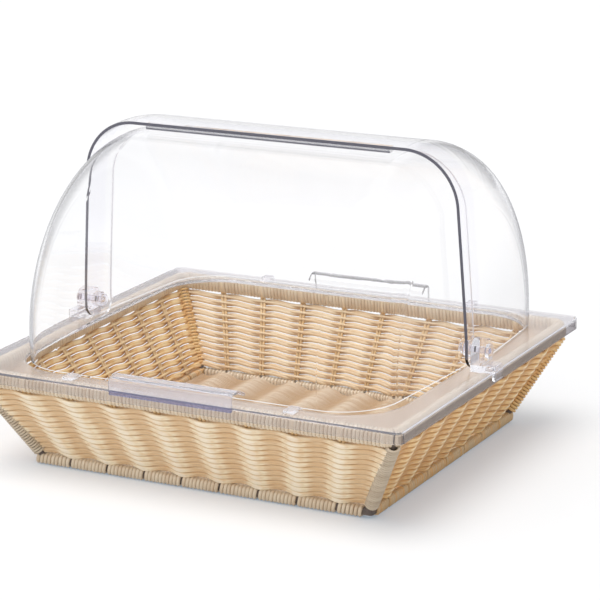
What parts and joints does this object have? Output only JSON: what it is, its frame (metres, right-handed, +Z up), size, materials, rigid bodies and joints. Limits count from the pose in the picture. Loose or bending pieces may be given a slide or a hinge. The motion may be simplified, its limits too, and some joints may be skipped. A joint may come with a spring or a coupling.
{
  "type": "countertop bread display bin",
  "caption": "Tapered woven basket on a steel frame with a clear cover whose front and back lids roll up to show and serve bread.",
  "frame": {"origin": "middle of the footprint, on the counter that the basket stands on", "axes": "+X right, +Y back, +Z up; the lids turn about an axis along X"},
  "size_m": [0.4866, 0.4272, 0.3235],
  "materials": {
    "frame_steel": "dark brown-grey steel bar",
    "wrap_strand": "cream synthetic cane wound close round the frame",
    "wall_strand": "cream and honey synthetic cane, woven, satin",
    "stake_strand": "honey synthetic cane stakes, satin",
    "floor_strand": "fine synthetic cane in wavy bundles, satin",
    "clear_lid": "clear polycarbonate, polished",
    "clear_handle": "clear polycarbonate, polished, cool edge tint",
    "clear_frame": "clear polycarbonate, moulded, lightly frosted underneath",
    "clear_fitting": "clear moulded plastic"
  },
  "bodies": {
    "basket": {"base_frame_bar": "frame_steel", "rim_frame_bar": "frame_steel", "corner_post_front_left": "frame_steel", "corner_post_front_right": "frame_steel", "corner_post_back_left": "frame_steel", "corner_post_back_right": "frame_steel", "corner_wrap_front_left": "wrap_strand", "corner_wrap_front_right": "wrap_strand", "corner_wrap_back_left": "wrap_strand", "corner_wrap_back_right": "wrap_strand", "rim_wrap_front": "wrap_strand", "rim_wrap_back": "wrap_strand", "rim_wrap_left": "wrap_strand", "rim_wrap_right": "wrap_strand", "base_wrap_front": "wrap_strand", "base_wrap_back": "wrap_strand", "base_wrap_left": "wrap_strand", "base_wrap_right": "wrap_strand", "wall_weave_front": "wall_strand", "wall_weave_back": "wall_strand", "wall_weave_left": "wall_strand", "wall_weave_right": "wall_strand", "wall_stakes_front": "stake_strand", "wall_stakes_back": "stake_strand", "wall_stakes_left": "stake_strand", "wall_stakes_right": "stake_strand", "floor_weave": "floor_strand", "floor_stakes": "stake_strand"},
    "cover": {"cover_frame": "clear_frame", "pivot_bracket_left": "clear_fitting", "pivot_bracket_right": "clear_fitting", "pivot_pin_left": "clear_fitting", "pivot_pin_right": "clear_fitting", "pivot_cap_left": "clear_fitting", "pivot_cap_right": "clear_fitting", "pivot_spacer_left": "clear_fitting", "pivot_spacer_right": "clear_fitting", "rest_pads_front": "clear_fitting", "rest_pads_back": "clear_fitting"},
    "front_lid": {"front_shell": "clear_lid", "front_handle": "clear_handle"},
    "back_lid": {"back_shell": "clear_lid", "back_handle": "clear_handle", "back_edge_rib": "clear_handle"}
  },
  "joints": [
    {"name": "cover_lift", "type": "slide", "parent": "basket", "child": "cover", "axis": [0, 0, 1], "range_m": [0, 0.12]},
    {"name": "front_lid_hinge", "type": "hinge", "parent": "cover", "child": "front_lid", "pos_m": [0, 0, 0.1265], "axis": [-1, 0, 0], "range_deg": [0, 42]},
    {"name": "back_lid_hinge", "type": "hinge", "parent": "cover", "child": "back_lid", "pos_m": [0, 0, 0.1265], "axis": [1, 0, 0], "range_deg": [0, 42]}
  ]
}
